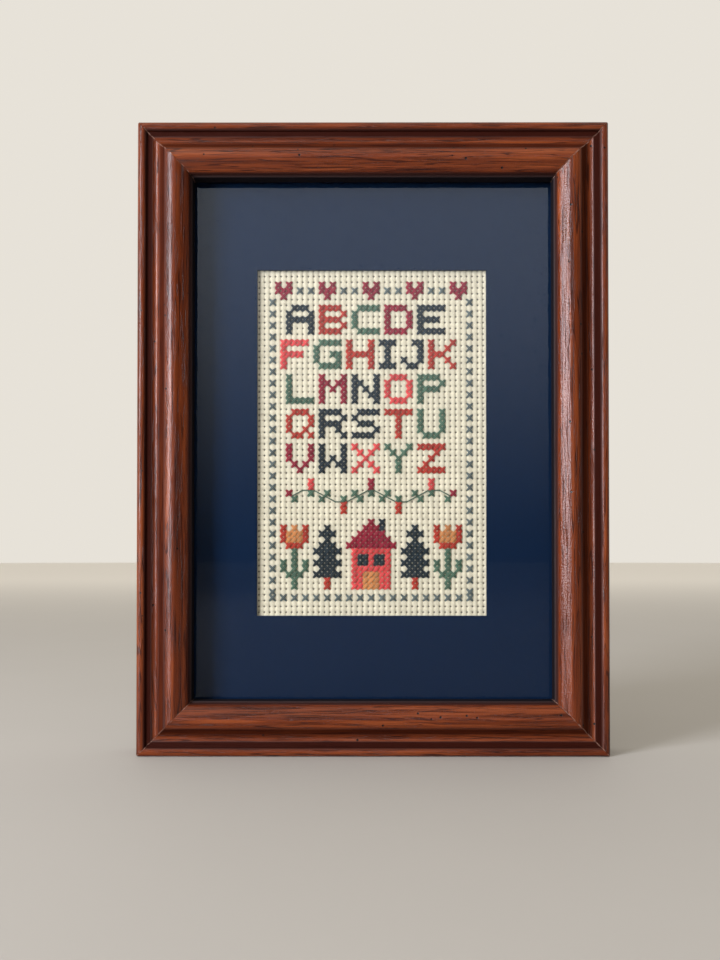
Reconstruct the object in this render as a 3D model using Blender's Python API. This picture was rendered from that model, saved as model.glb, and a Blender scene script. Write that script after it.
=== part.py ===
"""Framed cross stitch sampler, standing upright on its bottom rail.

Four mitred rails of one moulding hold, from the front to the back, a sheet of glass, a window mat,
a flat piece of Aida cloth and a backing board, which six flat steel points keep in the rebate.

Units are metres, +Z is up and the front faces -Y. The origin is at the middle of the frame's base.
"""

import math

import bmesh
import bpy

# The frame: what shows inside the rails, and the moulding they are cut from
SIGHT_WIDTH = 0.1180
SIGHT_HEIGHT = 0.1710
RAIL_WIDTH = 0.0178
RAIL_DEPTH = 0.0190
LIP_COVER = 0.0049
REBATE_DEPTH = 0.0100

# Gap that touching pieces keep
FIT = 0.0003

# Thickness of each layer in the rebate
GLASS_THICKNESS = 0.0020
MAT_THICKNESS = 0.0010
CLOTH_THICKNESS = 0.0010
BACKING_THICKNESS = 0.0025

# The window cut in the mat, and how far its middle lies below the middle of the frame
WINDOW_WIDTH = 0.0764
WINDOW_HEIGHT = 0.1154
WINDOW_DROP = 0.0006

# A flat steel point: its width, thickness, lengths over the board and in the wood, and cut tip
POINT_WIDTH = 0.0070
POINT_THICKNESS = 0.0006
POINT_SHOWN = 0.0080
POINT_IN_WOOD = 0.0030
POINT_TIP = 0.0025
POINT_SPACING = 0.0900

# The moulding from its outer bead to its lip, as (mm in from the outer edge, mm above the back): a
# flat, a cove, an ogee up to the crest, and a long inner slope
SECTION_FRONT = [
    (3.16, 15.26),
    (3.30, 15.23),
    (4.60, 15.31),
    (4.80, 15.27),
    (5.05, 15.10),
    (5.40, 14.92),
    (5.75, 14.86),
    (6.10, 14.91),
    (6.45, 15.07),
    (6.90, 15.42),
    (7.30, 15.84),
    (8.60, 17.44),
    (8.95, 17.81),
    (9.25, 18.04),
    (9.60, 18.25),
    (10.90, 18.84),
    (11.20, 18.93),
    (11.50, 18.98),
    (11.80, 19.00),
    (12.05, 18.97),
    (12.30, 18.89),
    (12.80, 18.65),
    (14.10, 17.88),
    (15.60, 16.88),
    (16.05, 16.52),
    (16.45, 16.10),
    (16.80, 15.60),
    (17.10, 15.07),
    (17.35, 14.70),
    (17.80, 14.30),
]

# Sizes worked out from those above
FRAME_WIDTH = SIGHT_WIDTH + 2 * RAIL_WIDTH
FRAME_HEIGHT = SIGHT_HEIGHT + 2 * RAIL_WIDTH
REBATE_EDGE = RAIL_WIDTH - LIP_COVER
LAYER_WIDTH = SIGHT_WIDTH + 2 * LIP_COVER - 2 * FIT
LAYER_HEIGHT = SIGHT_HEIGHT + 2 * LIP_COVER - 2 * FIT
MITRE_INSET = FIT / 2 * math.sqrt(2)
BACK_Y = RAIL_DEPTH / 2


def arc(centre, radii, start, end, steps):
    """Points along an elliptical arc. Angles are in degrees, and 90 is towards the front."""
    points = []
    for step in range(steps + 1):
        angle = math.radians(start + (end - start) * step / steps)
        across = centre[0] + radii[0] * math.cos(angle)
        height = centre[1] + radii[1] * math.sin(angle)
        points.append((across, height))
    return points


def moulding_profile():
    """The moulding's section as (distance in from the outer edge, height above the back)."""
    bead_height = RAIL_DEPTH - 0.0040
    back_corner = 0.0005

    outer_back = [(back_corner, 0.0), (0.0, back_corner)]
    outer_bead = arc((0.00155, bead_height), (0.00155, 0.0016), 180, 10, 10)
    front = [(0.001 * inwards, 0.001 * height) for inwards, height in SECTION_FRONT]
    rebate = [
        (RAIL_WIDTH, REBATE_DEPTH),
        (REBATE_EDGE, REBATE_DEPTH),
        (REBATE_EDGE, 0.0),
    ]
    return outer_back + outer_bead + front + rebate


def finish(name, colour, roughness, metallic=0.0):
    """A Principled material of one colour."""
    material = bpy.data.materials.new(name)
    material.use_nodes = True
    shader = material.node_tree.nodes["Principled BSDF"]
    shader.inputs["Base Color"].default_value = (*colour, 1.0)
    shader.inputs["Roughness"].default_value = roughness
    shader.inputs["Metallic"].default_value = metallic
    return material


def add_object(name, shape, material, parent, turn=0.0):
    """Makes a bmesh into a named object under the parent, turned by degrees about the Y axis."""
    bmesh.ops.recalc_face_normals(shape, faces=shape.faces)
    mesh = bpy.data.meshes.new(name)
    shape.to_mesh(mesh)
    shape.free()
    obj = bpy.data.objects.new(name, mesh)
    bpy.context.scene.collection.objects.link(obj)
    obj.parent = parent
    obj.rotation_euler = (0, math.radians(turn), 0)
    if material:
        mesh.materials.append(material)
    return obj


def rectangle(width, height, z=0.0):
    """The corners of a rectangle whose middle is at x = 0 and z, as (x, z) points."""
    signs = [(-1, -1), (1, -1), (1, 1), (-1, 1)]
    return [(right * width / 2, z + up * height / 2) for right, up in signs]


def prism(outline, front, back):
    """A closed prism: the outline holds (x, z) points, and front and back are heights above the back."""
    shape = bmesh.new()
    face = shape.faces.new([shape.verts.new((x, BACK_Y - front, z)) for x, z in outline])
    made = bmesh.ops.extrude_face_region(shape, geom=[face])
    moved = [item for item in made["geom"] if isinstance(item, bmesh.types.BMVert)]
    bmesh.ops.translate(shape, verts=moved, vec=(0, front - back, 0))
    return shape


def rail_shape(length, across):
    """The bottom rail of a frame that measures length along the rail and across the other way.

    The moulding runs along X, and its ends are cut to mitres."""
    shape = bmesh.new()
    ends = []
    for side in (-1, 1):
        ring = []
        for inwards, height in moulding_profile():
            x = side * (length / 2 - inwards - MITRE_INSET)
            ring.append(shape.verts.new((x, BACK_Y - height, inwards - across / 2)))
        ends.append(ring)
        shape.faces.new(ring)
    left, right = ends
    for index in range(len(left)):
        after = (index + 1) % len(left)
        shape.faces.new((left[index], left[after], right[after], right[index]))
    return shape


def point_shape(along, across, height, clearance=0.0):
    """A steel point in the bottom rail, or with a clearance the pocket that the rail has for it.

    It lies along metres from the rail's middle, and its back is height above the frame's back."""
    board_edge = REBATE_EDGE - across / 2
    half = POINT_WIDTH / 2 + clearance
    root = board_edge - POINT_IN_WOOD - clearance
    tip = board_edge + POINT_SHOWN
    outline = [
        (along - half, root),
        (along + half, root),
        (along + half, tip - POINT_TIP),
        (along + POINT_TIP / 2, tip),
        (along - POINT_TIP / 2, tip),
        (along - half, tip - POINT_TIP),
    ]
    return prism(outline, height + POINT_THICKNESS + clearance, height - clearance)


def mat_shape(front, back):
    """The mat board: a sheet with its window cut straight through."""
    shape = bmesh.new()
    outlines = [
        rectangle(LAYER_WIDTH, LAYER_HEIGHT),
        rectangle(WINDOW_WIDTH, WINDOW_HEIGHT, -WINDOW_DROP),
    ]
    outer, window = (
        [
            [shape.verts.new((x, BACK_Y - height, z)) for x, z in outline]
            for height in (front, back)
        ]
        for outline in outlines
    )
    loops = [outer[0], window[0], window[1], outer[1]]
    for index, loop in enumerate(loops):
        onward = loops[(index + 1) % 4]
        for corner in range(4):
            after = (corner + 1) % 4
            shape.faces.new((loop[corner], loop[after], onward[after], onward[corner]))
    return shape


def layer_heights():
    """The (front, back) heights of each layer above the frame's back, from the lip backwards."""
    thicknesses = {
        "glass_pane": GLASS_THICKNESS,
        "mat_board": MAT_THICKNESS,
        "aida_cloth": CLOTH_THICKNESS,
        "backing_board": BACKING_THICKNESS,
        "steel_point": POINT_THICKNESS,
    }
    heights = {}
    front = REBATE_DEPTH - FIT
    for name, thickness in thicknesses.items():
        heights[name] = (front, front - thickness)
        front -= thickness + FIT
    return heights


def add_sheet(name, heights, material, parent, edge):
    """A flat sheet that fills the rebate, with its cut edges broken by a small bevel."""
    sheet = add_object(
        name, prism(rectangle(LAYER_WIDTH, LAYER_HEIGHT), *heights), material, parent
    )
    if edge:
        bevel = sheet.modifiers.new("broken_edges", "BEVEL")
        bevel.width = edge
        bevel.segments = 1
        bevel.limit_method = "ANGLE"


def add_point(number, rail, along, across, turn, height, material, parent):
    """A steel point, and the pocket for it cut in its rail."""
    shape = point_shape(along, across, height)
    add_object(f"steel_point_{number}", shape, material, parent, turn)
    shape = point_shape(along, across, height, FIT)
    pocket = add_object(f"pocket_{number}", shape, None, parent, turn)
    pocket.hide_render = True
    pocket.display_type = "WIRE"
    cut = rail.modifiers.new(f"pocket_{number}", "BOOLEAN")
    cut.operation = "DIFFERENCE"
    cut.object = pocket


def add_rails(wood, steel, point_height, parent):
    """The four rails, each the bottom rail turned about the frame's middle, and their points."""
    middle = [0.0]
    pair = [-POINT_SPACING / 2, POINT_SPACING / 2]
    width, height = FRAME_WIDTH, FRAME_HEIGHT
    # Each row: name, length, size across, turn in degrees, places of its points along it
    rails = [
        ("rail_bottom", width, height, 0, middle),
        ("rail_left", height, width, 90, pair),
        ("rail_top", width, height, 180, middle),
        ("rail_right", height, width, -90, pair),
    ]
    number = 0
    for name, length, across, turn, places in rails:
        rail = add_object(name, rail_shape(length, across), wood, parent, turn)
        rail.data.shade_smooth()
        rail.data.set_sharp_from_angle(angle=math.radians(35))
        for along in places:
            number += 1
            add_point(number, rail, along, across, turn, point_height, steel, parent)


def main():
    for obj in list(bpy.data.objects):
        bpy.data.objects.remove(obj, do_unlink=True)
    middle = bpy.data.objects.new("frame_middle", None)
    middle.location = (0, 0, FRAME_HEIGHT / 2)
    bpy.context.scene.collection.objects.link(middle)

    wood = finish("stained_oak", (0.17, 0.036, 0.016), 0.32)
    glass = finish("clear_glass", (0.80, 0.86, 0.86), 0.03)
    navy = finish("navy_mat", (0.010, 0.026, 0.075), 0.85)
    cotton = finish("ivory_aida", (0.80, 0.74, 0.58), 0.95)
    hardboard = finish("hardboard", (0.20, 0.11, 0.055), 0.80)
    steel = finish("point_steel", (0.55, 0.56, 0.57), 0.35, 0.9)

    heights = layer_heights()
    add_rails(wood, steel, heights["steel_point"][1], middle)
    add_sheet("glass_pane", heights["glass_pane"], glass, middle, 0.0002)
    add_object("mat_board", mat_shape(*heights["mat_board"]), navy, middle)
    add_sheet("aida_cloth", heights["aida_cloth"], cotton, middle, 0.0)
    add_sheet("backing_board", heights["backing_board"], hardboard, middle, 0.0003)


main()
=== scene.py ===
"""Framed cross stitch sampler: the looks of the object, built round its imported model.

Units are metres, +Z is up and the front faces -Y. Sections follow the frame as it is put together,
from the four rails at the front to the steel points at the back.
"""

import math

import bmesh
import bpy
import numpy as np
from mathutils import Matrix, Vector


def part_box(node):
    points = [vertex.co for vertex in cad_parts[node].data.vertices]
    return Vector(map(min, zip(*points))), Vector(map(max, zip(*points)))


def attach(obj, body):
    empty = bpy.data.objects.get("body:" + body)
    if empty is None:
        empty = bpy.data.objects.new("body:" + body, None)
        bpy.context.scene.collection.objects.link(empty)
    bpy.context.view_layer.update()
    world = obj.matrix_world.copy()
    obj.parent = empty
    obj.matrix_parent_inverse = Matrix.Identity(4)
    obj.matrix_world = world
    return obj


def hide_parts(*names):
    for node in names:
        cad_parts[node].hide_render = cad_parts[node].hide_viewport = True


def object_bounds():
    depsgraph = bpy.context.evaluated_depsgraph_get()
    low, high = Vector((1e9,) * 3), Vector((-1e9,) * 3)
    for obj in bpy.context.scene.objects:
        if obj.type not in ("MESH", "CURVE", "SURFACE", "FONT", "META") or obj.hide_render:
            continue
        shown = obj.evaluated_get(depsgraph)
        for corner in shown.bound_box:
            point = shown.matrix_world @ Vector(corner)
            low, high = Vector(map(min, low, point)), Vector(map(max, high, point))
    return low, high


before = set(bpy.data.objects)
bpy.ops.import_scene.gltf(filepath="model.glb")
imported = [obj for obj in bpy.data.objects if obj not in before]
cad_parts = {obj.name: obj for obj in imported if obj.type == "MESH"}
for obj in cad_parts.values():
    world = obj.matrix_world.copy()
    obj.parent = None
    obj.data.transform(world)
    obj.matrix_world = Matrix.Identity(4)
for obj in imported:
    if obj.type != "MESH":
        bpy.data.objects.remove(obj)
cad_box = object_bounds()

# Camera: straight in front, 37 mm under the middle of the glass, tilted up by less than a degree. It
# stands for the photograph's view, and its small upward shift frames the object as there.
CAMERA_PLACE = (-0.00365, -0.335, 0.0663)
CAMERA_TURN = (90.8, 0.0, 0.10)

camera_data = bpy.data.cameras.new("camera")
camera_data.lens = 38.0
camera_data.sensor_width = 36.0
camera_data.shift_y = 0.06
camera_data.clip_start = 0.01
camera = bpy.data.objects.new("camera", camera_data)
camera.location = CAMERA_PLACE
camera.rotation_euler = [math.radians(turn) for turn in CAMERA_TURN]
bpy.context.scene.collection.objects.link(camera)
bpy.context.scene.camera = camera
bpy.context.scene.view_settings.view_transform = "Standard"


# Studio: a pale plain floor and soft light. The window light comes from the left. The room in front
# is dim low down and bright high up, and one soft patch of it shows in the glass as a veil.
FLOOR_RADIUS = 6.0
FAR_FLOOR_FROM, FAR_FLOOR_TO = 0.2, 2.2
PALE_FLOOR = (0.42, 0.40, 0.37)
FAR_FLOOR = (0.86, 0.83, 0.78)
PALE_ROOM = (0.80, 0.76, 0.69)
DIM_ROOM = (0.14, 0.132, 0.122)
VEIL_LIGHT = (2.8, 3.0, 3.3)
UPPER_ROOM = (0.80, 0.73, 0.62)


def add_node(tree, kind, inputs=None, **settings):
    """Adds a node. An input is set to a value, or linked to a socket or a node's first output."""
    node = tree.nodes.new(kind)
    for name, value in settings.items():
        setattr(node, name, value)
    for name, value in (inputs or {}).items():
        if isinstance(value, bpy.types.Node):
            value = value.outputs[0]
        if isinstance(value, bpy.types.NodeSocket):
            tree.links.new(value, node.inputs[name])
        else:
            node.inputs[name].default_value = value
    return node


def calc(tree, operation, *values):
    """The result of a Math node."""
    return add_node(tree, "ShaderNodeMath", dict(enumerate(values)), operation=operation).outputs[0]


def step_up(tree, value, low, high, start=0.0, end=1.0):
    """A smooth step from start to end as the value goes from low to high."""
    levels = {"Value": value, "From Min": low, "From Max": high, "To Min": start, "To Max": end}
    node = add_node(tree, "ShaderNodeMapRange", levels, interpolation_type="SMOOTHSTEP")
    return node.outputs["Result"]


def tint(tree, amount, first, second, blend="MIX"):
    """Mixes two colours, each a linear RGB triple or a socket."""
    colours = [c if isinstance(c, bpy.types.NodeSocket) else (*c, 1.0) for c in (first, second)]
    inputs = {0: amount, 6: colours[0], 7: colours[1]}
    mix = add_node(tree, "ShaderNodeMix", inputs, data_type="RGBA", blend_type=blend)
    return mix.outputs[2]


def new_finish(name, **sockets):
    """A Principled material. Returns it with its tree and shader; each socket's name has _ for spaces."""
    material = bpy.data.materials.new(name)
    material.use_nodes = True
    shader = material.node_tree.nodes["Principled BSDF"]
    for socket, value in sockets.items():
        shader.inputs[socket.replace("_", " ")].default_value = value
    return material, material.node_tree, shader


def object_place(tree, scale, offset=(0.0, 0.0, 0.0)):
    """Object coordinates scaled to the size of a pattern."""
    place = add_node(tree, "ShaderNodeTexCoord").outputs["Object"]
    mapping = add_node(tree, "ShaderNodeMapping", {"Vector": place, "Scale": scale, "Location": offset})
    return mapping.outputs[0]


def noise(tree, place, scale=1.0, detail=3.0, roughness=0.5, distortion=0.0):
    """A noise texture's value."""
    inputs = {
        "Vector": place,
        "Scale": scale,
        "Detail": detail,
        "Roughness": roughness,
        "Distortion": distortion,
    }
    return add_node(tree, "ShaderNodeTexNoise", inputs).outputs[0]


def softbox(name, place, width, height, power, colour):
    """A soft light that faces the middle of the frame."""
    light = bpy.data.lights.new(name, "AREA")
    light.shape = "RECTANGLE"
    light.size = width
    light.size_y = height
    light.energy = power
    light.color = colour
    holder = bpy.data.objects.new(name, light)
    holder.location = place
    towards = holder.location - cad_box[0].lerp(cad_box[1], 0.5)
    holder.rotation_euler = towards.to_track_quat("Z", "Y").to_euler()
    bpy.context.scene.collection.objects.link(holder)


floor_shape = bmesh.new()
bmesh.ops.create_circle(floor_shape, cap_ends=True, segments=96, radius=FLOOR_RADIUS)
floor_mesh = bpy.data.meshes.new("floor")
floor_shape.to_mesh(floor_mesh)
floor_shape.free()
floor = bpy.data.objects.new("floor", floor_mesh)
bpy.context.scene.collection.objects.link(floor)
floor_paint, tree, shader = new_finish("floor_paint", Roughness=0.75)
mottle = noise(tree, object_place(tree, (9.0, 9.0, 9.0)), detail=5.0)
darker_floor = tuple(0.94 * part for part in PALE_FLOOR)
near_paint = tint(tree, mottle, darker_floor, PALE_FLOOR)
floor_place = add_node(tree, "ShaderNodeSeparateXYZ", {0: object_place(tree, (1.0, 1.0, 1.0))}).outputs
far_away = step_up(tree, floor_place[1], FAR_FLOOR_FROM, FAR_FLOOR_TO)
tree.links.new(tint(tree, far_away, near_paint, FAR_FLOOR), shader.inputs["Base Color"])
floor_mesh.materials.append(floor_paint)

world = bpy.data.worlds.new("studio")
world.use_nodes = True
bpy.context.scene.world = world
tree = world.node_tree
direction = add_node(tree, "ShaderNodeTexCoord").outputs["Generated"]
across, depth, up = add_node(tree, "ShaderNodeSeparateXYZ", {0: direction}).outputs
room = tint(tree, step_up(tree, depth, 0.1, -0.35), PALE_ROOM, DIM_ROOM)
upper = calc(tree, "MULTIPLY", step_up(tree, up, 0.40, 0.60), step_up(tree, depth, 0.3, -0.2))
room = tint(tree, upper, room, UPPER_ROOM)
# The bright patch lies in front. Each row: the direction's part, where the edge starts, where it ends
veil = calc(tree, "LESS_THAN", depth, 0.0)
veil_edges = [(across, -0.20, -0.14), (across, 0.23, 0.19), (up, -0.02, 0.34), (up, 0.39, 0.35)]
for part, start, end in veil_edges:
    veil = calc(tree, "MULTIPLY", veil, step_up(tree, part, start, end))
room = tint(tree, veil, room, VEIL_LIGHT)
seen = add_node(tree, "ShaderNodeLightPath").outputs["Is Camera Ray"]
tree.links.new(tint(tree, seen, room, PALE_ROOM), tree.nodes["Background"].inputs["Color"])

# Each row: name, place, width, height, watts, colour
soft_lights = [
    ("window_light", (-0.86, -0.80, 0.37), 0.40, 0.72, 24.5, (0.90, 0.92, 1.0)),
    ("ceiling_light", (-0.25, -0.60, 1.10), 0.60, 0.60, 1.4, (1.0, 0.95, 0.88)),
]
for light_row in soft_lights:
    softbox(*light_row)


# Rails: four lengths of one oak moulding, mitred and glued at the corners. It is stained red-brown
# under satin lacquer. Painted shade, with some settled stain, darkens the flat, the hollows and the
# ogee's steep part, and a painted shadow makes the lip's inner wall nearly black. The mitres show
# worn edges with a painted glint, and small black marks age it on purpose.
SIGHT_WIDTH = 0.1180
SIGHT_HEIGHT = 0.1710
RAIL_WIDTH = 0.0178
RAIL_DEPTH = 0.0190
REBATE_DEPTH = 0.0100
REBATE_EDGE = 0.0129
FRAME_WIDTH = SIGHT_WIDTH + 2 * RAIL_WIDTH
FRAME_HEIGHT = SIGHT_HEIGHT + 2 * RAIL_WIDTH
BACK_Y = RAIL_DEPTH / 2
BACK_EASE = 0.0005
BEAD_MIDDLE = (0.00155, RAIL_DEPTH - 0.0040)
BEAD_RADII = (0.00155, 0.0016)
CORNER_ROUND = 0.0006
MITRE_CHAMFER = 0.00012
# A rail has a ring of vertices at each of these distances from its mitres, and some along its span
MITRE_CUTS = [0.00003, 0.00015, 0.0003, 0.00045, 0.0007, 0.0020, 0.0050]
SPAN_RINGS = 14
SHARP_ANGLE = 38
# The section from its outer bead on, as (mm in from the outer edge, mm above the back): a flat, a
# cove, an ogee up to the crest, a long inner slope, and the lip's rounded nose and narrow step
SECTION_FRONT = [
    (3.16, 15.26),
    (3.30, 15.23),
    (4.60, 15.31),
    (4.80, 15.27),
    (5.05, 15.10),
    (5.40, 14.92),
    (5.75, 14.86),
    (6.10, 14.90),
    (6.45, 15.05),
    (6.90, 15.36),
    (7.40, 15.80),
    (8.00, 16.42),
    (8.60, 17.08),
    (9.10, 17.60),
    (9.50, 17.94),
    (9.90, 18.20),
    (10.40, 18.47),
    (11.00, 18.72),
    (11.50, 18.89),
    (11.90, 18.97),
    (12.30, 19.00),
    (12.65, 18.98),
    (12.95, 18.91),
    (13.20, 18.81),
    (13.50, 18.66),
    (14.00, 18.38),
    (14.70, 17.97),
    (15.40, 17.54),
    (15.90, 17.20),
    (16.25, 16.92),
    (16.60, 16.52),
    (16.90, 16.02),
    (17.12, 15.40),
    (17.30, 14.88),
    (17.42, 14.74),
    (17.58, 14.66),
    (17.70, 14.58),
    (17.80, 14.42),
]
# The first colour is a painted shadow, nearly black, for the lip's inner wall; the dark stain below it
# also serves as painted shade in the flat and hollows
LIP_SHADOW_BLACK = (0.0070, 0.0050, 0.0065)
DARK_STAIN_AND_SHADE = (0.024, 0.0032, 0.0010)
STAIN_BROWN = (0.064, 0.0105, 0.0024)
STAIN_MID = (0.120, 0.0215, 0.0048)
STAIN_LIGHT = (0.200, 0.0430, 0.0105)
WORN_EDGE_AND_GLINT = (0.34, 0.19, 0.14)
MARK_BLACK = (0.004, 0.003, 0.003)
LACQUER_GLOSS = 0.25
DULL_GLOSS = 0.06
# Painted shade with some settled stain, as (mm in from the outer edge, amount): 1 is the darkest
# brown, in the shaded flat, hollows and steep slope, and 2 is a painted shadow, nearly black, on the
# lip's inner wall
SHADE_AND_STAIN_BANDS = [
    (0.0, 0.3),
    (0.6, 0.0),
    (2.1, 0.05),
    (2.9, 0.95),
    (4.6, 0.95),
    (5.1, 0.15),
    (6.4, 0.05),
    (7.3, 0.6),
    (9.2, 0.65),
    (10.2, 0.1),
    (11.0, 0.0),
    (16.5, 0.0),
    (17.1, 1.0),
    (17.3, 1.4),
    (17.7, 1.5),
    (17.8, 2.0),
]
# Where the lacquer is dull, as (from, to) in mm from the outer edge: the flat, the ogee's steep part
# and the lip's inner wall
DULL_SPANS = [(2.9, 4.7), (7.3, 9.2), (17.75, 17.85)]


def arc(centre, radii, start, end, steps):
    """Points along an elliptical arc. Angles are in degrees, and 90 is towards the front."""
    turns = [math.radians(start + (end - start) * step / steps) for step in range(steps + 1)]
    return [(centre[0] + radii[0] * math.cos(a), centre[1] + radii[1] * math.sin(a)) for a in turns]


def moulding_section():
    """The moulding's section as (distance in from the outer edge, height above the back)."""
    outer_back = [(BACK_EASE, 0.0), (0.3 * BACK_EASE, 0.3 * BACK_EASE), (0.0, BACK_EASE)]
    outer_bead = arc(BEAD_MIDDLE, BEAD_RADII, 180, 10, 18)
    front = [(0.001 * inwards, 0.001 * height) for inwards, height in SECTION_FRONT]
    rebate = [(RAIL_WIDTH, REBATE_DEPTH), (REBATE_EDGE, REBATE_DEPTH), (REBATE_EDGE, 0.0)]
    return outer_back + outer_bead + front + rebate


def ease_corner(end_gap, edge_gap):
    """Moves a point that is near an outer corner of the frame, so that the corner is rounded."""
    from_end = CORNER_ROUND - end_gap
    from_edge = CORNER_ROUND - edge_gap
    if min(from_end, from_edge) <= 0:
        return end_gap, edge_gap
    shrink = max(from_end, from_edge) / math.hypot(from_end, from_edge)
    return CORNER_ROUND - from_end * shrink, CORNER_ROUND - from_edge * shrink


def mitred_rail(length, across):
    """The bottom rail of a frame that measures length along the rail and across the other way."""
    section = moulding_section()
    shade_and_stain = np.interp([1000 * inwards for inwards, height in section], *zip(*SHADE_AND_STAIN_BANDS))
    shape = bmesh.new()
    # Per vertex: painted shade with settled stain, and the mitre edges' wear with a painted glint
    shade_stain_layer = shape.verts.layers.float.new("shade_and_stain")
    wear_and_glint = shape.verts.layers.float.new("worn_and_glint")
    spans = [(2 * ring / SPAN_RINGS - 1, MITRE_CUTS[-1]) for ring in range(1, SPAN_RINGS)]
    rings = [(-1, cut) for cut in MITRE_CUTS] + spans + [(1, cut) for cut in reversed(MITRE_CUTS)]
    loops = []
    for share, cut in rings:
        chamfer = MITRE_CHAMFER if cut == MITRE_CUTS[0] else 0.0
        loop = []
        for (inwards, height), amount in zip(section, shade_and_stain):
            x = share * (length / 2 - inwards - cut)
            end_gap, edge_gap = ease_corner(length / 2 - abs(x), inwards)
            x = math.copysign(length / 2 - end_gap, x)
            low = chamfer if height > REBATE_DEPTH else 0.0
            vertex = shape.verts.new((x, BACK_Y - height + low, edge_gap - across / 2))
            vertex[shade_stain_layer] = amount
            vertex[wear_and_glint] = float(cut in MITRE_CUTS[:2])
            loop.append(vertex)
        loops.append(loop)
    for before, after in zip(loops, loops[1:]):
        for index in range(len(section)):
            onward = (index + 1) % len(section)
            face = shape.faces.new((before[index], before[onward], after[onward], after[index]))
            ends = sorted(1000 * section[place][0] for place in (index, onward))
            face.material_index = int(any(low < ends[0] and ends[1] < high for low, high in DULL_SPANS))
    shape.faces.new(loops[0])
    shape.faces.new(loops[-1])
    bmesh.ops.recalc_face_normals(shape, faces=shape.faces)
    return shape


def add_bump(tree, shader, height, distance):
    """Raises a height pattern on a shader's surface, over any bump that it has already."""
    inputs = {"Height": height, "Distance": distance}
    if shader.inputs["Normal"].is_linked:
        inputs["Normal"] = shader.inputs["Normal"].links[0].from_socket
    bump = add_node(tree, "ShaderNodeBump", inputs)
    tree.links.new(bump.outputs[0], shader.inputs["Normal"])


def stained_oak(name, grain_axis, grain_start, gloss):
    """Red-brown stained oak whose grain runs along X (0) or Z (2)."""
    material, tree, shader = new_finish(name, Specular_IOR_Level=gloss)

    def grain(across_mm, along_mm, **settings):
        scale = [1000 / across_mm] * 3
        scale[grain_axis] = 1000 / along_mm
        return noise(tree, object_place(tree, scale, grain_start), **settings)

    figure = grain(3.2, 70.0, detail=2.0, distortion=0.6)
    streaks = grain(0.9, 26.0, detail=4.0, roughness=0.6, distortion=0.3)
    pores = grain(0.24, 9.0, detail=2.0)
    shade = calc(tree, "ADD", calc(tree, "MULTIPLY", figure, 0.55), calc(tree, "MULTIPLY", streaks, 0.45))
    wood = tint(tree, step_up(tree, shade, 0.36, 0.50), STAIN_BROWN, STAIN_MID)
    wood = tint(tree, step_up(tree, shade, 0.48, 0.64), wood, STAIN_LIGHT)
    early_wood = step_up(tree, streaks, 0.56, 0.40)
    pore = calc(tree, "MULTIPLY", step_up(tree, pores, 0.53, 0.62), early_wood)
    wood = tint(tree, calc(tree, "MULTIPLY", pore, 0.75), wood, DARK_STAIN_AND_SHADE)
    contours = calc(tree, "PINGPONG", calc(tree, "MULTIPLY", figure, 9.0), 0.5)
    broken = step_up(tree, grain(1.6, 14.0, detail=2.0), 0.40, 0.56)
    vein = calc(tree, "MULTIPLY", step_up(tree, contours, 0.17, 0.05), broken)
    wood = tint(tree, calc(tree, "MULTIPLY", vein, 0.80), wood, DARK_STAIN_AND_SHADE)
    # Painted shade with some settled stain: darker brown in the shaded flat, hollows and steep slope, and
    # a painted shadow, nearly black, on the lip's inner wall
    hollow = add_node(tree, "ShaderNodeAttribute", attribute_name="shade_and_stain").outputs["Fac"]
    wood = tint(tree, step_up(tree, hollow, 0.0, 1.0), wood, DARK_STAIN_AND_SHADE)
    wood = tint(tree, step_up(tree, hollow, 1.0, 2.0), wood, LIP_SHADOW_BLACK)
    marks_at = object_place(tree, (260.0, 260.0, 260.0), grain_start)
    cells = add_node(tree, "ShaderNodeTexVoronoi", {"Vector": marks_at, "Scale": 1.0})
    chosen = add_node(tree, "ShaderNodeSeparateColor", {0: cells.outputs["Color"]}).outputs[0]
    near = step_up(tree, cells.outputs["Distance"], 0.13, 0.07)
    mark = calc(tree, "MULTIPLY", near, step_up(tree, chosen, 0.70, 0.72))
    wood = tint(tree, mark, wood, MARK_BLACK)
    # Pale flecks along the mitres: worn edges, and a painted glint on the mitre's hairline
    worn_and_glint = add_node(tree, "ShaderNodeAttribute", attribute_name="worn_and_glint").outputs["Fac"]
    flecks = noise(tree, object_place(tree, (700.0, 700.0, 700.0), grain_start), detail=3.0)
    bare_and_glint = calc(tree, "MULTIPLY", worn_and_glint, step_up(tree, flecks, 0.42, 0.66, 0.04, 0.9))
    wood = tint(tree, bare_and_glint, wood, WORN_EDGE_AND_GLINT)
    tree.links.new(wood, shader.inputs["Base Color"])
    satin = step_up(tree, streaks, 0.3, 0.7, 0.21, 0.14)
    dull = step_up(tree, hollow, 0.1, 0.8, 0.0, 0.5)
    tree.links.new(calc(tree, "ADD", satin, dull), shader.inputs["Roughness"])
    ridges = calc(tree, "MULTIPLY", streaks, 0.4)
    add_bump(tree, shader, calc(tree, "SUBTRACT", ridges, calc(tree, "ADD", pore, mark)), 0.00007)
    orange_peel = noise(tree, object_place(tree, (2300.0, 2300.0, 2300.0)), detail=2.0)
    add_bump(tree, shader, orange_peel, 0.00010)
    return material


# Two finishes for each direction of the grain: lacquered, and the dull one of the hollows
oak_across = [
    stained_oak("stained_oak_across", 0, (3.1, 1.7, 0.4), LACQUER_GLOSS),
    stained_oak("dull_oak_across", 0, (3.1, 1.7, 0.4), DULL_GLOSS),
]
oak_upright = [
    stained_oak("stained_oak_upright", 2, (8.3, 4.9, 2.6), LACQUER_GLOSS),
    stained_oak("dull_oak_upright", 2, (8.3, 4.9, 2.6), DULL_GLOSS),
]
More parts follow.
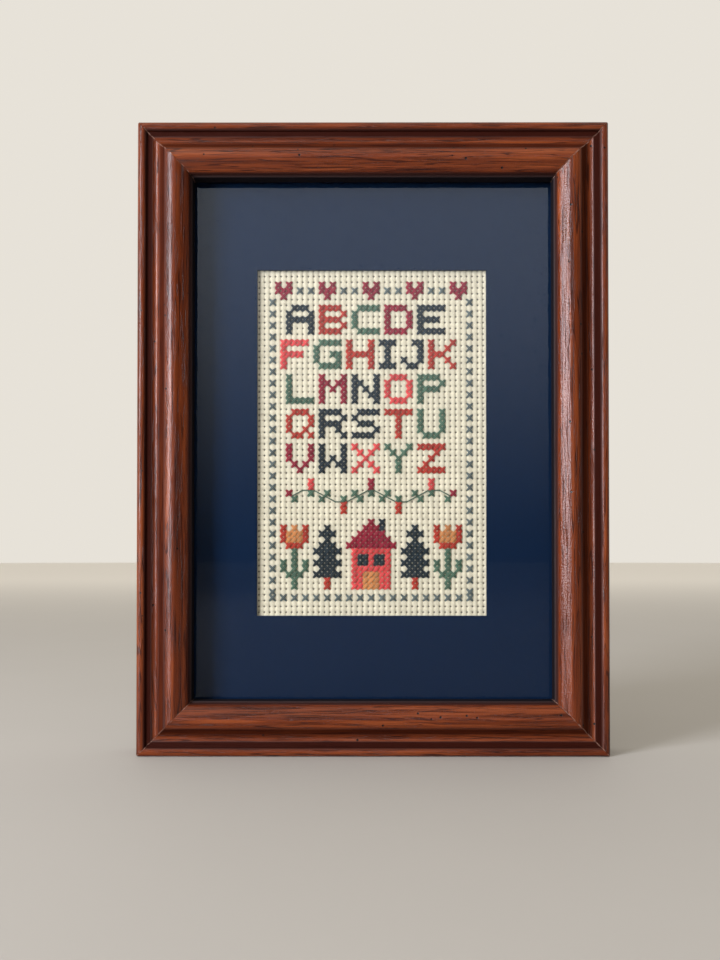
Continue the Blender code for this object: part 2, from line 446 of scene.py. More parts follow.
# Each row: name, length, size across, turn in degrees about Y, wood
rails = [
    ("bottom", FRAME_WIDTH, FRAME_HEIGHT, 0, oak_across),
    ("left", FRAME_HEIGHT, FRAME_WIDTH, 90, oak_upright),
    ("top", FRAME_WIDTH, FRAME_HEIGHT, 180, oak_across),
    ("right", FRAME_HEIGHT, FRAME_WIDTH, -90, oak_upright),
]
for side, length, across_size, turn, wood_finishes in rails:
    rail_shape = mitred_rail(length, across_size)
    stand = Matrix.Translation((0, 0, FRAME_HEIGHT / 2)) @ Matrix.Rotation(math.radians(turn), 4, "Y")
    rail_shape.transform(stand)
    rail_mesh = bpy.data.meshes.new(f"oak_rail_{side}")
    rail_shape.to_mesh(rail_mesh)
    rail_shape.free()
    rail_mesh.shade_smooth()
    rail_mesh.set_sharp_from_angle(angle=math.radians(SHARP_ANGLE))
    for wood_finish in wood_finishes:
        rail_mesh.materials.append(wood_finish)
    rail = bpy.data.objects.new(f"oak_rail_{side}", rail_mesh)
    bpy.context.scene.collection.objects.link(rail)
    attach(rail, "root")
    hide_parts(f"rail_{side}")


# Glass: one pane of clear 2 mm picture glass, laid loose against the lip of the rebate. It mirrors
# the room a little on the way in, and lets all the rest through.
GLASS_IOR = 1.29
GLASS_TINT = (0.985, 0.992, 0.988, 1.0)

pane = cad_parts["glass_pane"]
clear_glass = bpy.data.materials.new("clear_glass")
clear_glass.use_nodes = True
tree = clear_glass.node_tree
tree.nodes.remove(tree.nodes["Principled BSDF"])
mirror = add_node(tree, "ShaderNodeBsdfGlossy", {"Color": (1.0, 1.0, 1.0, 1.0)})
through = add_node(tree, "ShaderNodeBsdfTransparent", {"Color": GLASS_TINT})
smear = noise(tree, object_place(tree, (25.0, 25.0, 25.0)), detail=3.0)
tree.links.new(step_up(tree, smear, 0.35, 0.75, 0.02, 0.05), mirror.inputs["Roughness"])
gloss = add_node(tree, "ShaderNodeFresnel", {"IOR": GLASS_IOR}).outputs[0]
entering = calc(tree, "SUBTRACT", 1.0, add_node(tree, "ShaderNodeNewGeometry").outputs["Backfacing"])
mirrored = calc(tree, "MULTIPLY", gloss, entering)
surface = add_node(tree, "ShaderNodeMixShader", {0: mirrored, 1: through, 2: mirror})
tree.links.new(surface.outputs[0], tree.nodes["Material Output"].inputs["Surface"])
pane.data.materials.clear()
pane.data.materials.append(clear_glass)


# Mat: a window mat of navy card 1 mm thick, with one opening cut straight through by knife.
# Its paper face is matt and very slightly fibrous, and a little dust lies on it.
LAYER_WIDTH = 0.1272
LAYER_HEIGHT = 0.1802
WINDOW_WIDTH = 0.0764
WINDOW_HEIGHT = 0.1154
WINDOW_DROP = 0.0006
WINDOW_SHIFT = -0.0003
MAT_EASE = 0.00012
NAVY = (0.0022, 0.0102, 0.0315)
DUST_GREY = (0.32, 0.33, 0.34)

mat_front, mat_back = (corner.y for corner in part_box("mat_board"))


def rectangle_loop(shape, width, height, y, middle):
    """Four vertices at the corners of an upright rectangle round a middle, given as X and Z."""
    signs = [(-1, -1), (1, -1), (1, 1), (-1, 1)]
    return [
        shape.verts.new((middle[0] + i * width / 2, y, middle[1] + j * height / 2)) for i, j in signs
    ]


def bridge(shape, first, second):
    """Joins two loops of as many vertices with faces."""
    count = len(first)
    for index in range(count):
        onward = (index + 1) % count
        shape.faces.new((first[index], first[onward], second[onward], second[index]))


def add_piece(name, shape, material, smooth_angle=None):
    """Makes a bmesh into a piece that rides on the frame's one body."""
    bmesh.ops.recalc_face_normals(shape, faces=shape.faces)
    mesh = bpy.data.meshes.new(name)
    shape.to_mesh(mesh)
    shape.free()
    mesh.materials.append(material)
    if smooth_angle:
        mesh.shade_smooth()
        mesh.set_sharp_from_angle(angle=math.radians(smooth_angle))
    piece = bpy.data.objects.new(name, mesh)
    bpy.context.scene.collection.objects.link(piece)
    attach(piece, "root")
    return piece


mat_shape = bmesh.new()
board_middle = (0.0, FRAME_HEIGHT / 2)
window_middle = (WINDOW_SHIFT, FRAME_HEIGHT / 2 - WINDOW_DROP)
# Each row: width, height, y and middle of a loop, from the front's outer edge to the back's
mat_rows = [
    (LAYER_WIDTH, LAYER_HEIGHT, mat_front, board_middle),
    (WINDOW_WIDTH + 4 * MAT_EASE, WINDOW_HEIGHT + 4 * MAT_EASE, mat_front, window_middle),
    (WINDOW_WIDTH + MAT_EASE, WINDOW_HEIGHT + MAT_EASE, mat_front + MAT_EASE / 3, window_middle),
    (WINDOW_WIDTH, WINDOW_HEIGHT, mat_front + MAT_EASE, window_middle),
    (WINDOW_WIDTH, WINDOW_HEIGHT, mat_back, window_middle),
    (LAYER_WIDTH, LAYER_HEIGHT, mat_back, board_middle),
]
mat_loops = [rectangle_loop(mat_shape, *row) for row in mat_rows]
for loop, onward_loop in zip(mat_loops, mat_loops[1:] + mat_loops[:1]):
    bridge(mat_shape, loop, onward_loop)

navy_board, tree, shader = new_finish("navy_board", Roughness=0.92, Specular_IOR_Level=0.04)
fibres = noise(tree, object_place(tree, (900.0, 900.0, 900.0)), detail=2.0)
clouds = noise(tree, object_place(tree, (60.0, 60.0, 60.0)), detail=2.0)
paper = calc(tree, "ADD", calc(tree, "MULTIPLY", fibres, 0.7), calc(tree, "MULTIPLY", clouds, 0.3))
navy = tint(tree, paper, tuple(0.8 * part for part in NAVY), tuple(1.2 * part for part in NAVY))
dust_place = object_place(tree, (150.0, 150.0, 150.0))
dust_cells = add_node(tree, "ShaderNodeTexVoronoi", {"Vector": dust_place, "Scale": 1.0})
picked = add_node(tree, "ShaderNodeSeparateColor", {0: dust_cells.outputs["Color"]}).outputs[1]
speck = step_up(tree, dust_cells.outputs["Distance"], 0.045, 0.020)
speck = calc(tree, "MULTIPLY", speck, step_up(tree, picked, 0.80, 0.82))
tree.links.new(tint(tree, speck, navy, DUST_GREY), shader.inputs["Base Color"])
add_bump(tree, shader, fibres, 0.000006)
mat = add_piece("window_mat", mat_shape, navy_board)
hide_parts("mat_board")


# Aida cloth: ivory cotton woven in blocks of four threads each way, with a hole at each corner of a
# block. It is cut flat to fill the rebate and held there by the mat and the board.
SQUARE_WIDTH = 0.00183
SQUARE_HEIGHT = 0.00194
MIDDLE_COLUMN_X = -0.00052
TOP_ROW_Z = 0.1557
FIRST_COLUMN, LAST_COLUMN = -22, 22
FIRST_ROW, LAST_ROW = -3, 58
LINES_PER_BLOCK = 5
HOLE_DEPTH = 0.00060
RIB_DEPTH = 0.00016
IVORY = (0.77, 0.70, 0.54)
THREAD_GAP_SHADOW = (0.55, 0.47, 0.32)
PAINTED_HOLE_SHADOW = (0.07, 0.052, 0.034)

cloth_front, cloth_back = (corner.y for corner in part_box("aida_cloth"))


def new_shape_tree(name, inputs):
    """A Geometry Nodes tree with a mesh input, the inputs given as (name, kind), and a mesh output."""
    tree = bpy.data.node_groups.new(name, "GeometryNodeTree")
    tree.is_modifier = True
    tree.interface.new_socket("Geometry", in_out="OUTPUT", socket_type="NodeSocketGeometry")
    tree.interface.new_socket("Geometry", in_out="INPUT", socket_type="NodeSocketGeometry")
    for socket_name, kind in inputs:
        tree.interface.new_socket(socket_name, in_out="INPUT", socket_type=f"NodeSocket{kind}")
    given = add_node(tree, "NodeGroupInput").outputs
    return tree, given


def end_shape_tree(tree, geometry, material):
    """Ends a tree in realized instances that wear the material."""
    realized = add_node(tree, "GeometryNodeRealizeInstances", {0: geometry})
    dressed = add_node(tree, "GeometryNodeSetMaterial", {"Geometry": realized, "Material": material})
    add_node(tree, "NodeGroupOutput", {0: dressed})


def shape_from_tree(name, tree, start_mesh, values):
    """The plain mesh that a tree makes from a start mesh and values for its named inputs."""
    holder = bpy.data.objects.new(name, start_mesh)
    bpy.context.scene.collection.objects.link(holder)
    modifier = holder.modifiers.new(name, "NODES")
    modifier.node_group = tree
    for socket in tree.interface.items_tree:
        if socket.in_out == "INPUT" and socket.name in values:
            modifier[socket.identifier] = values[socket.name]
    evaluated = holder.evaluated_get(bpy.context.evaluated_depsgraph_get())
    mesh = bpy.data.meshes.new_from_object(evaluated)
    mesh.name = name
    holder.modifiers.remove(modifier)
    bpy.data.objects.remove(holder)
    return mesh


def aida_weave_tree():
    """A sheet of woven blocks in the XZ plane, with a pit at each corner of a block."""
    tree, given = new_shape_tree(
        "aida_weave",
        [
            ("Columns", "Int"),
            ("Rows", "Int"),
            ("Block Width", "Float"),
            ("Block Height", "Float"),
            ("Hole Depth", "Float"),
            ("Rib Depth", "Float"),
            ("Cloth", "Material"),
        ],
    )
    spans = [calc(tree, "MULTIPLY", given[name], LINES_PER_BLOCK) for name in ("Columns", "Rows")]
    counts = [calc(tree, "ADD", span, 1) for span in spans]
    grid = add_node(
        tree,
        "GeometryNodeMeshGrid",
        {"Size X": spans[0], "Size Y": spans[1], "Vertices X": counts[0], "Vertices Y": counts[1]},
    )
    position = add_node(tree, "GeometryNodeInputPosition")
    place = add_node(tree, "ShaderNodeSeparateXYZ", {0: position}).outputs
    blocks, holes = [], []
    for axis in (0, 1):
        half = calc(tree, "DIVIDE", spans[axis], 2)
        even = calc(tree, "DIVIDE", calc(tree, "ADD", place[axis], half), LINES_PER_BLOCK)
        wave = calc(tree, "SINE", calc(tree, "MULTIPLY", even, 2 * math.pi))
        crowded = calc(tree, "SUBTRACT", even, calc(tree, "MULTIPLY", wave, 0.08))
        blocks.append(crowded)
        holes.append(calc(tree, "PINGPONG", crowded, 0.5))
    near, hollow = [], []
    for from_hole in holes:
        within = calc(tree, "SUBTRACT", 1, calc(tree, "DIVIDE", from_hole, 0.22))
        near.append(calc(tree, "MAXIMUM", within, 0))
        fall = calc(tree, "SUBTRACT", 1, calc(tree, "MULTIPLY", from_hole, 2))
        hollow.append(calc(tree, "POWER", fall, 3))
    pit = calc(tree, "MULTIPLY", near[0], near[1])
    rib = calc(tree, "ADD", hollow[0], calc(tree, "MULTIPLY", hollow[1], 0.45))
    sunk = calc(tree, "MULTIPLY", pit, given["Hole Depth"])
    depth = calc(tree, "ADD", sunk, calc(tree, "MULTIPLY", rib, given["Rib Depth"]))
    x = calc(tree, "MULTIPLY", blocks[0], given["Block Width"])
    z = calc(tree, "MULTIPLY", blocks[1], given["Block Height"])
    moved = add_node(tree, "ShaderNodeCombineXYZ", {0: x, 1: depth, 2: z})
    hole_kept = add_node(
        tree, "GeometryNodeStoreNamedAttribute", {"Geometry": grid, "Name": "hole", "Value": pit}
    )
    sheet = add_node(tree, "GeometryNodeSetPosition", {"Geometry": hole_kept, "Position": moved})
    end_shape_tree(tree, sheet, given["Cloth"])
    return tree


def ivory_cotton():
    """Ivory cotton whose threads run four to a block each way, over and under each other."""
    material, tree, shader = new_finish(
        "ivory_cotton", Roughness=0.9, Specular_IOR_Level=0.2, Sheen_Weight=0.15
    )
    corner = (MIDDLE_COLUMN_X - SQUARE_WIDTH / 2, 0.0, TOP_ROW_Z - SQUARE_HEIGHT / 2)
    scale = (1 / SQUARE_WIDTH, 1.0, 1 / SQUARE_HEIGHT)
    offset = (-corner[0] / SQUARE_WIDTH, 0.0, -corner[2] / SQUARE_HEIGHT)
    place = object_place(tree, scale, offset)
    across, depth, up = add_node(tree, "ShaderNodeSeparateXYZ", {0: place}).outputs
    warp = calc(tree, "SINE", calc(tree, "MULTIPLY", across, 4 * math.pi))
    weft = calc(tree, "SINE", calc(tree, "MULTIPLY", up, 4 * math.pi))
    over = calc(tree, "GREATER_THAN", calc(tree, "MULTIPLY", warp, weft), 0.0)
    threads = add_node(
        tree,
        "ShaderNodeMix",
        {0: over, 2: calc(tree, "ABSOLUTE", weft), 3: calc(tree, "ABSOLUTE", warp)},
        data_type="FLOAT",
    ).outputs[0]
    slubs = noise(tree, object_place(tree, (500.0, 500.0, 170.0)), detail=3.0)
    shade = tint(tree, step_up(tree, slubs, 0.3, 0.7), tuple(0.86 * part for part in IVORY), IVORY)
    # Painted shade in the gaps between the threads
    gap_shadow = calc(tree, "MULTIPLY", calc(tree, "SUBTRACT", 1.0, threads), 0.45)
    shade = tint(tree, gap_shadow, shade, THREAD_GAP_SHADOW)
    # Painted shadow in each hole's pit, standing in for the shade seen through a real hole
    hole = add_node(tree, "ShaderNodeAttribute", attribute_name="hole").outputs["Fac"]
    shade = tint(tree, step_up(tree, hole, 0.18, 0.46), shade, PAINTED_HOLE_SHADOW)
    tree.links.new(shade, shader.inputs["Base Color"])
    add_bump(tree, shader, threads, 0.00014)
    return material


def corner_hole(column, row):
    """X and Z of the hole at the upper left of a square."""
    x = MIDDLE_COLUMN_X + (column - 0.5) * SQUARE_WIDTH
    return x, TOP_ROW_Z - (row - 0.5) * SQUARE_HEIGHT


cotton = ivory_cotton()
weave_mesh = shape_from_tree(
    "aida_weave",
    aida_weave_tree(),
    bpy.data.meshes.new("start"),
    {
        "Columns": LAST_COLUMN - FIRST_COLUMN + 1,
        "Rows": LAST_ROW - FIRST_ROW + 1,
        "Block Width": SQUARE_WIDTH,
        "Block Height": SQUARE_HEIGHT,
        "Hole Depth": HOLE_DEPTH,
        "Rib Depth": RIB_DEPTH,
        "Cloth": cotton,
    },
)
cloth_shape = bmesh.new()
cloth_shape.from_mesh(weave_mesh)
left_x = corner_hole(FIRST_COLUMN, 0)[0]
bottom_z = corner_hole(0, LAST_ROW + 1)[1]
bmesh.ops.translate(cloth_shape, verts=cloth_shape.verts, vec=(left_x, cloth_front, bottom_z))
weave_low = (left_x, bottom_z)
weave_high = (corner_hole(LAST_COLUMN + 1, 0)[0], corner_hole(0, FIRST_ROW)[1])
cloth_low = (-LAYER_WIDTH / 2, (FRAME_HEIGHT - LAYER_HEIGHT) / 2)


def spread_to_edge(vertex):
    """Moves a vertex on the weave's border out to the cut edge of the cloth."""
    size = (LAYER_WIDTH, LAYER_HEIGHT)
    share = [
        (vertex.co[axis] - weave_low[i]) / (weave_high[i] - weave_low[i]) for i, axis in enumerate((0, 2))
    ]
    vertex.co.x = cloth_low[0] + size[0] * share[0]
    vertex.co.z = cloth_low[1] + size[1] * share[1]
    vertex.co.y = cloth_front


border = [edge for edge in cloth_shape.edges if edge.is_boundary]
front_rim = bmesh.ops.extrude_edge_only(cloth_shape, edges=border)["geom"]
for vertex in front_rim:
    if isinstance(vertex, bmesh.types.BMVert):
        spread_to_edge(vertex)
rim_edges = [edge for edge in front_rim if isinstance(edge, bmesh.types.BMEdge)]
back_rim = bmesh.ops.extrude_edge_only(cloth_shape, edges=rim_edges)["geom"]
for vertex in back_rim:
    if isinstance(vertex, bmesh.types.BMVert):
        vertex.co.y = cloth_back
back_edges = [edge for edge in back_rim if isinstance(edge, bmesh.types.BMEdge)]
bmesh.ops.contextual_create(cloth_shape, geom=back_edges)
cloth = add_piece("stitched_aida_cloth", cloth_shape, cotton, smooth_angle=60)
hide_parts("aida_cloth")


# Cross stitches: stranded cotton floss, two strands in the needle, worked hole to hole over one
# block of the cloth. Each stitch is a leg rising to one side, then a leg over it to the other.
FLOSS = {
    "c": ("crimson", (0.280, 0.003, 0.024)),
    "k": ("coral", (0.700, 0.068, 0.066)),
    "r": ("rust", (0.440, 0.030, 0.012)),
    "o": ("orange", (0.620, 0.250, 0.080)),
    "n": ("navy", (0.007, 0.019, 0.028)),
    "g": ("green", (0.070, 0.140, 0.090)),
    "b": ("grey", (0.115, 0.145, 0.140)),
}
STRAND_RADIUS = 0.00024
THIN_STRAND_RADIUS = 0.00021
STITCH_SINK = 0.00012
LETTERS = {
    "A": ".###. #...# ##### #...# #...#",
    "B": "####. #...# ####. #...# ####.",
    "C": ".#### #.... #.... #.... .####",
    "D": "####. #...# #...# #...# ####.",
    "E": "##### #.... ####. #.... #####",
    "F": "##### #.... ####. #.... #....",
    "G": ".#### #.... #..## #...# .####",
    "H": "#...# #...# ##### #...# #...#",
    "I": "### .#. .#. .#. ###",
    "J": "..## ...# ...# #..# .##.",
    "K": "#...# #..#. ###.. #..#. #...#",
    "L": "#.... #.... #.... #.... #####",
    "M": "#...# ##.## #.#.# #...# #...#",
    "N": "#...# ##..# #.#.# #..## #...#",
    "O": ".###. #...# #...# #...# .###.",
    "P": "####. #...# ####. #.... #....",
    "Q": ".###. #...# #...# #..#. .##.#",
    "R": "####. #...# ####. #..#. #...#",
    "S": ".#### #.... .###. ....# ####.",
    "T": "##### ..#.. ..#.. ..#.. ..#..",
    "U": "#...# #...# #...# #...# .###.",
    "V": "#...# #...# #...# .#.#. ..#..",
    "W": "#...# #...# #.#.# ##.## #...#",
    "X": "#...# .#.#. ..#.. .#.#. #...#",
    "Y": "#...# .#.#. ..#.. ..#.. ..#..",
    "Z": "##### ...#. ..#.. .#... #####",
}
LETTER_ROWS = ["ABCDE", "FGHIJK", "LMNOP", "QRSTU", "VWXYZ"]
LETTER_FLOSS = "nrgcnkgrn"
HEART = "c.c ccc .c."
HOUSE = (
    "....c.n.. ...cccn.. ..ccccc.. .ccccccc. ccccccccc .kkkkkkk. .knnknnk. .knnknnk. .kkkkkkk. "
    ".kkoookk. .kkoookk. .kkoookk."
)
FIR = "..n.. .nnn. ..n.. .nnn. nnnnn .nnn. nnnnn .nnn. nnnnn ..r.. ..r.."
TULIP = "r.o.r rooor rooor .rrr. ..g.. ..g.. g.g.g g.g.g .ggg. ..g.. ..g.."

chart = {}


def chart_motif(rows, left_column, top_row, floss=None):
    """Puts a motif's squares on the chart. Its own letters name the floss, or # takes the floss given."""
    for down, row in enumerate(rows.split()):
        for along, mark in enumerate(row):
            if mark != ".":
                chart[left_column + along, top_row + down] = floss or mark


for middle in (-16, -8, 0, 8, 16):
    chart_motif(HEART, middle - 1, 0)
    if middle < 16:
        chart[middle + 3, 1] = "b"
        chart[middle + 5, 1] = "b"
for row in range(3, 54, 2):
    chart[-18, row] = "b"
    chart[18, row] = "b"
for column in range(-18, 19, 2):
    chart[column, 54] = "b"
letter_number = 0
for line, letters in enumerate(LETTER_ROWS):
    widths = [len(LETTERS[letter].split()[0]) for letter in letters]
    column = -(sum(widths) + len(letters) - 1) // 2
    for letter, width in zip(letters, widths):
        chart_motif(LETTERS[letter], column, 4 + 6 * line, LETTER_FLOSS[letter_number % len(LETTER_FLOSS)])
        column += width + 1
        letter_number += 1
chart_motif(HOUSE, -4, 41)
for side in (-1, 1):
    chart_motif(FIR, 8 * side - 2, 42)
    chart_motif(TULIP, 14 * side - 2, 42)
    # Along the vine: two leaves where it slopes, and a bud and a leaf where it turns
    for column, row in ((8, 36), (9, 37), (3, 36), (2, 37), (11, 36), (5, 37), (0, 36), (14, 37)):
        chart[side * column, row] = "g"
    for column, row, mark in ((11, 35, "k"), (11, 34, "k"), (5, 38, "r"), (5, 39, "r"), (15, 36, "c")):
        chart[side * column, row] = mark
    chart[0, 35] = chart[0, 34] = "c"


def cross_stitch_tree():
    """One cross of floss on each point of a mesh. Each point is the middle of a square."""
    tree, given = new_shape_tree(
        "cross_stitches",
        [
            ("Square Width", "Float"),
            ("Square Height", "Float"),
            ("Strand Radius", "Float"),
            ("Seed", "Int"),
            ("Floss", "Material"),
        ],
    )
    radius = given["Strand Radius"]
    ring = add_node(tree, "GeometryNodeCurvePrimitiveCircle", {"Resolution": 6, "Radius": radius})
    factor = add_node(tree, "GeometryNodeSplineParameter").outputs["Factor"]
    around = add_node(
        tree,
        "GeometryNodeStoreNamedAttribute",
        {"Geometry": ring.outputs["Curve"], "Name": "around", "Value": factor},
    )
    half_width = calc(tree, "MULTIPLY", given["Square Width"], 0.5)
    half_height = calc(tree, "MULTIPLY", given["Square Height"], 0.5)
    strands = add_node(tree, "GeometryNodeJoinGeometry")
    # Each leg: its slant, and how high its middle rises in strand radii
    for slant, lift in ((-1, 1.6), (1, 4.2)):
        rise = calc(tree, "MULTIPLY", half_height, slant)
        corner = add_node(tree, "ShaderNodeCombineXYZ", {0: half_width, 2: rise})
        back = calc(tree, "MULTIPLY", half_width, -1)
        sideways = add_node(tree, "ShaderNodeCombineXYZ", {0: rise, 2: back})
        unit = add_node(tree, "ShaderNodeVectorMath", {0: sideways}, operation="NORMALIZE")
        crown = calc(tree, "MULTIPLY", radius, -lift)
        for side in (-1, 1):
            points = []
            for along, spread in ((-1, 0.50), (0, 1.60), (1, 0.50)):
                shift = add_node(
                    tree,
                    "ShaderNodeVectorMath",
                    {0: unit.outputs[0], "Scale": calc(tree, "MULTIPLY", radius, side * spread)},
                    operation="SCALE",
                )
                reach = add_node(
                    tree, "ShaderNodeVectorMath", {0: corner.outputs[0], "Scale": float(along)},
                    operation="SCALE",
                )
                flat = add_node(tree, "ShaderNodeVectorMath", {0: reach, 1: shift}, operation="ADD")
                raised = add_node(tree, "ShaderNodeCombineXYZ", {1: STITCH_SINK if along else crown})
                points.append(
                    add_node(tree, "ShaderNodeVectorMath", {0: flat, 1: raised}, operation="ADD")
                )
            path = add_node(
                tree,
                "GeometryNodeCurveQuadraticBezier",
                {"Resolution": 6, "Start": points[0], "Middle": points[1], "End": points[2]},
            )
            along_kept = add_node(
                tree,
                "GeometryNodeStoreNamedAttribute",
                {
                    "Geometry": path,
                    "Name": "along",
                    "Value": add_node(tree, "GeometryNodeSplineParameter").outputs["Factor"],
                },
            )
            strand = add_node(
                tree,
                "GeometryNodeCurveToMesh",
                {"Curve": along_kept, "Profile Curve": around, "Fill Caps": True},
            )
            tree.links.new(strand.outputs[0], strands.inputs[0])
    tilt = add_node(
        tree,
        "FunctionNodeRandomValue",
        {0: (-0.04, -0.05, -0.04), 1: (0.04, 0.05, 0.04), "Seed": given["Seed"]},
        data_type="FLOAT_VECTOR",
    )
    swell = add_node(
        tree,
        "FunctionNodeRandomValue",
        {2: 0.94, 3: 1.04, "Seed": calc(tree, "ADD", given["Seed"], 1)},
        data_type="FLOAT",
    )
    crosses = add_node(
        tree,
        "GeometryNodeInstanceOnPoints",
        {"Points": given["Geometry"], "Instance": strands, "Rotation": tilt, "Scale": swell.outputs[1]},
    )
    tone = add_node(
        tree,
        "FunctionNodeRandomValue",
        {2: 0.0, 3: 1.0, "Seed": calc(tree, "ADD", given["Seed"], 2)},
        data_type="FLOAT",
    )
    toned = add_node(
        tree,
        "GeometryNodeStoreNamedAttribute",
        {"Geometry": crosses, "Name": "tone", "Value": tone.outputs[1]},
        domain="INSTANCE",
    )
    smooth = add_node(tree, "GeometryNodeSetShadeSmooth", {"Geometry": toned})
    end_shape_tree(tree, smooth, given["Floss"])
    return tree


def cotton_floss(name, colour):
    """Two-ply mercerised cotton: a soft shine, a fine twist with painted shade in its grooves, and some
    stitches paler than others.
    """
    material, tree, shader = new_finish(
        name, Roughness=0.5, Specular_IOR_Level=0.35, Sheen_Weight=0.06, Sheen_Roughness=0.4
    )
    tone = add_node(tree, "ShaderNodeAttribute", attribute_name="tone").outputs["Fac"]
    along = add_node(tree, "ShaderNodeAttribute", attribute_name="along").outputs["Fac"]
    around = add_node(tree, "ShaderNodeAttribute", attribute_name="around").outputs["Fac"]
    turns = calc(tree, "ADD", calc(tree, "MULTIPLY", along, 5.0), calc(tree, "MULTIPLY", around, 2.0))
    twist = calc(tree, "ABSOLUTE", calc(tree, "SINE", calc(tree, "MULTIPLY", turns, math.pi)))
    hairs = noise(tree, object_place(tree, (4000.0, 4000.0, 4000.0)), detail=2.0)
    shade = tint(tree, tone, tuple(0.80 * part for part in colour), tuple(1.15 * part for part in colour))
    # Painted shade in the grooves of the twist
    twist_shade = tuple(0.45 * part for part in colour)
    shade = tint(tree, step_up(tree, twist, 0.45, 0.0, 0.0, 0.6), shade, twist_shade)
    pale = tuple(min(1.0, 1.25 * part + 0.02) for part in colour)
    shade = tint(tree, step_up(tree, hairs, 0.55, 0.75, 0.0, 0.35), shade, pale)
    tree.links.new(shade, shader.inputs["Base Color"])
    add_bump(tree, shader, twist, 0.00008)
    return material


stitch_tree = cross_stitch_tree()
floss_finishes = {}
for seed, (mark, (colour_name, colour)) in enumerate(FLOSS.items()):
    floss_finishes[mark] = cotton_floss(f"floss_{colour_name}", colour)
    squares = sorted(place for place, used in chart.items() if used == mark)
    middles = [
        (MIDDLE_COLUMN_X + column * SQUARE_WIDTH, cloth_front, TOP_ROW_Z - row * SQUARE_HEIGHT)
        for column, row in squares
    ]
    point_mesh = bpy.data.meshes.new("start")
    point_mesh.from_pydata(middles, [], [])
    stitch_mesh = shape_from_tree(
        f"crosses_{colour_name}",
        stitch_tree,
        point_mesh,
        {
            "Square Width": SQUARE_WIDTH,
            "Square Height": SQUARE_HEIGHT,
            "Strand Radius": THIN_STRAND_RADIUS if mark == "b" else STRAND_RADIUS,
            "Seed": 10 * seed,
            "Floss": floss_finishes[mark],
        },
    )
    stitches = bpy.data.objects.new(f"crosses_{colour_name}", stitch_mesh)
    bpy.context.scene.collection.objects.link(stitches)
    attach(stitches, "root")


# Vine: one strand of the green floss in back stitch, from hole to hole, each stitch drawn tight with
# a slight rise in its middle.
VINE_RADIUS = 0.00020
VINE_RISE = 0.00028
VINE_SINK = 0.00005
VINE_COLUMNS = [-14, -12, -10, -8, -6, -4, -2, 0]
VINE_ROWS = [37, 36, 36, 37, 38, 38, 37, 36]


def back_stitch_tree():
    """A strand along each edge of a mesh, raised in its middle."""
    tree, given = new_shape_tree(
        "back_stitches", [("Strand Radius", "Float"), ("Rise", "Float"), ("Floss", "Material")]
    )
    factor = add_node(tree, "GeometryNodeSplineParameter").outputs["Factor"]
    lines = add_node(tree, "GeometryNodeMeshToCurve", {"Mesh": given["Geometry"]})
    fine = add_node(tree, "GeometryNodeResampleCurve", {"Curve": lines, "Count": 9})
    bow = calc(tree, "SINE", calc(tree, "MULTIPLY", factor, math.pi))
    lift = calc(tree, "MULTIPLY", calc(tree, "MULTIPLY", bow, given["Rise"]), -1)
    offset = add_node(tree, "ShaderNodeCombineXYZ", {1: lift})
    bowed = add_node(tree, "GeometryNodeSetPosition", {"Geometry": fine, "Offset": offset})
    kept = add_node(
        tree, "GeometryNodeStoreNamedAttribute", {"Geometry": bowed, "Name": "along", "Value": factor}
    )
    ring = add_node(
        tree, "GeometryNodeCurvePrimitiveCircle", {"Resolution": 8, "Radius": given["Strand Radius"]}
    )
    around = add_node(
        tree,
        "GeometryNodeStoreNamedAttribute",
        {"Geometry": ring.outputs["Curve"], "Name": "around", "Value": factor},
    )
    strand = add_node(
        tree,
        "GeometryNodeCurveToMesh",
        {"Curve": kept, "Profile Curve": around, "Fill Caps": True},
    )
    smooth = add_node(tree, "GeometryNodeSetShadeSmooth", {"Geometry": strand})
    end_shape_tree(tree, smooth, given["Floss"])
    return tree


vine_holes = list(zip(VINE_COLUMNS, VINE_ROWS))
vine_holes += [(1 - column, row) for column, row in reversed(vine_holes)]
vine_ends = []
for first, second in zip(vine_holes, vine_holes[1:]):
    for column, row in (first, second):
        x, z = corner_hole(column, row)
        vine_ends.append((x, cloth_front + VINE_SINK, z))
vine_edges = [(index, index + 1) for index in range(0, len(vine_ends), 2)]
vine_lines = bpy.data.meshes.new("start")
vine_lines.from_pydata(vine_ends, vine_edges, [])
vine_mesh = shape_from_tree(
    "vine_back_stitches",
    back_stitch_tree(),
    vine_lines,
    {"Strand Radius": VINE_RADIUS, "Rise": VINE_RISE, "Floss": floss_finishes["g"]},
)
vine = bpy.data.objects.new("vine_back_stitches", vine_mesh)
bpy.context.scene.collection.objects.link(vine)
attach(vine, "root")


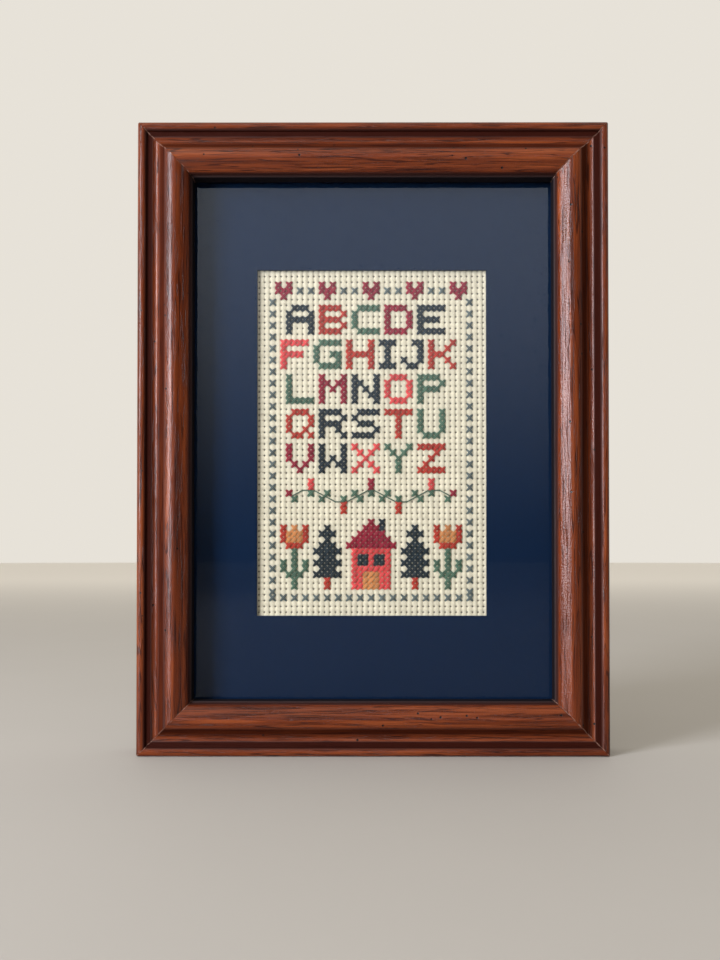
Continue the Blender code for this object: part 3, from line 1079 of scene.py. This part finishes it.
# Backing board: 2.5 mm hardboard, cut to the rebate. Its smooth brown face looks out at the back,
# mottled with pressed fibres and with pale and dark flecks.
BOARD_DARK = (0.13, 0.066, 0.030)
BOARD_BROWN = (0.23, 0.130, 0.066)
PALE_FLECK = (0.36, 0.24, 0.14)
DARK_FLECK = (0.06, 0.030, 0.014)

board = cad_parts["backing_board"]
hardboard, tree, shader = new_finish("pressed_hardboard", Roughness=0.62, Specular_IOR_Level=0.35)
flecks = noise(tree, object_place(tree, (900.0, 900.0, 900.0)), detail=5.0, roughness=0.7)
strands_in_board = noise(tree, object_place(tree, (260.0, 700.0, 420.0)), detail=4.0, distortion=1.5)
brown = tint(tree, step_up(tree, strands_in_board, 0.35, 0.65), BOARD_DARK, BOARD_BROWN)
brown = tint(tree, step_up(tree, flecks, 0.58, 0.72, 0.0, 0.7), brown, PALE_FLECK)
brown = tint(tree, step_up(tree, flecks, 0.40, 0.30, 0.0, 0.6), brown, DARK_FLECK)
tree.links.new(brown, shader.inputs["Base Color"])
add_bump(tree, shader, strands_in_board, 0.00005)
board.data.materials.clear()
board.data.materials.append(hardboard)


# Steel points: six flat framer's points of zinc plated steel, pressed into the rebate's wall over
# the board. Their plating is dull, with a fine crystal bloom and a few scratches.
DULL_ZINC = (0.42, 0.43, 0.45)
BRIGHT_ZINC = (0.60, 0.61, 0.62)
SCRATCH_ZINC = (0.78, 0.78, 0.78)

zinc, tree, shader = new_finish("zinc_plate", Metallic=1.0)
bloom_place = object_place(tree, (900.0, 900.0, 900.0))
bloom = add_node(tree, "ShaderNodeTexVoronoi", {"Vector": bloom_place, "Scale": 1.0})
grains = add_node(tree, "ShaderNodeSeparateColor", {0: bloom.outputs["Color"]}).outputs[0]
scratches = noise(tree, object_place(tree, (300.0, 300.0, 6000.0)), detail=2.0)
plate = tint(tree, grains, DULL_ZINC, BRIGHT_ZINC)
plate = tint(tree, step_up(tree, scratches, 0.62, 0.70, 0.0, 0.5), plate, SCRATCH_ZINC)
tree.links.new(plate, shader.inputs["Base Color"])
tree.links.new(step_up(tree, grains, 0.0, 1.0, 0.30, 0.48), shader.inputs["Roughness"])
add_bump(tree, shader, scratches, 0.00002)
for number in range(1, 7):
    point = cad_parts[f"steel_point_{number}"]
    point.data.materials.clear()
    point.data.materials.append(zinc)
